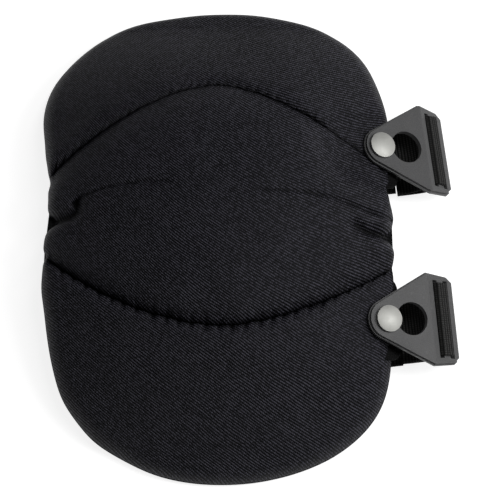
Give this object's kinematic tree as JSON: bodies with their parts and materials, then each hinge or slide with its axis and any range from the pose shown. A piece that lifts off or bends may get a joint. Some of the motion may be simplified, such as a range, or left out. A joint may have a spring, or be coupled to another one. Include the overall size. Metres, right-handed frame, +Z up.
{
  "type": "soft cap knee pad",
  "caption": "Curved, foam-filled fabric knee pad with sewn panels, and elastic straps held by keyhole slides that hook on side buttons.",
  "frame": {"origin": "centre of the bounding box, on the surface that the pad lies on", "axes": "+Z up through the front of the pad, +Y towards the thigh end, +X towards the side with the slides"},
  "size_m": [0.2123, 0.25, 0.0614],
  "materials": {
    "cover_fabric": "black twill weave",
    "firm_foam": "closed-cell foam",
    "soft_foam": "open-cell foam",
    "lining_fabric": "black brushed lining",
    "binding_tape": "black woven tape",
    "tab_webbing": "black flat webbing",
    "elastic_webbing": "black ribbed elastic",
    "slide_plastic": "dark grey, fine spark-eroded texture",
    "button_metal": "satin, warm grey",
    "button_post_metal": "plain"
  },
  "bodies": {
    "pad": {"thigh_cover": "cover_fabric", "knee_cover": "cover_fabric", "shin_cover": "cover_fabric", "thigh_foam": "firm_foam", "knee_foam": "firm_foam", "shin_foam": "firm_foam", "comfort_foam": "soft_foam", "lining": "lining_fabric", "edge_binding": "binding_tape", "upper_tab": "tab_webbing", "upper_button_post": "button_post_metal", "upper_button_washer": "button_post_metal", "upper_strap": "elastic_webbing", "upper_strap_anchor": "lining_fabric", "lower_tab": "tab_webbing", "lower_button_post": "button_post_metal", "lower_button_washer": "button_post_metal", "lower_strap": "elastic_webbing", "lower_strap_anchor": "lining_fabric"},
    "upper_button": {"upper_button_cap": "button_metal"},
    "upper_slide_body": {"upper_slide": "slide_plastic", "upper_strap_loop": "elastic_webbing"},
    "lower_button": {"lower_button_cap": "button_metal"},
    "lower_slide_body": {"lower_slide": "slide_plastic", "lower_strap_loop": "elastic_webbing"}
  },
  "joints": [
    {"name": "upper_button_turn", "type": "hinge", "parent": "pad", "child": "upper_button", "pos_m": [0.0657, 0.0445, 0.02831], "axis": [0.4118, 0.1235, 0.9029], "range_deg": [-8, 8]},
    {"name": "upper_slide_pull", "type": "slide", "parent": "upper_button", "child": "upper_slide_body", "axis": [-0.9029, -0.079, 0.4226], "range_m": [0, 0.0128], "deforming": ["upper_strap"]},
    {"name": "lower_button_turn", "type": "hinge", "parent": "pad", "child": "lower_button", "pos_m": [0.0681, -0.0464, 0.02973], "axis": [0.376, 0.0044, 0.9266], "range_deg": [-8, 8]},
    {"name": "lower_slide_pull", "type": "slide", "parent": "lower_button", "child": "lower_slide_body", "axis": [-0.9221, -0.0969, 0.3746], "range_m": [0, 0.0116], "deforming": ["lower_strap"]}
  ]
}
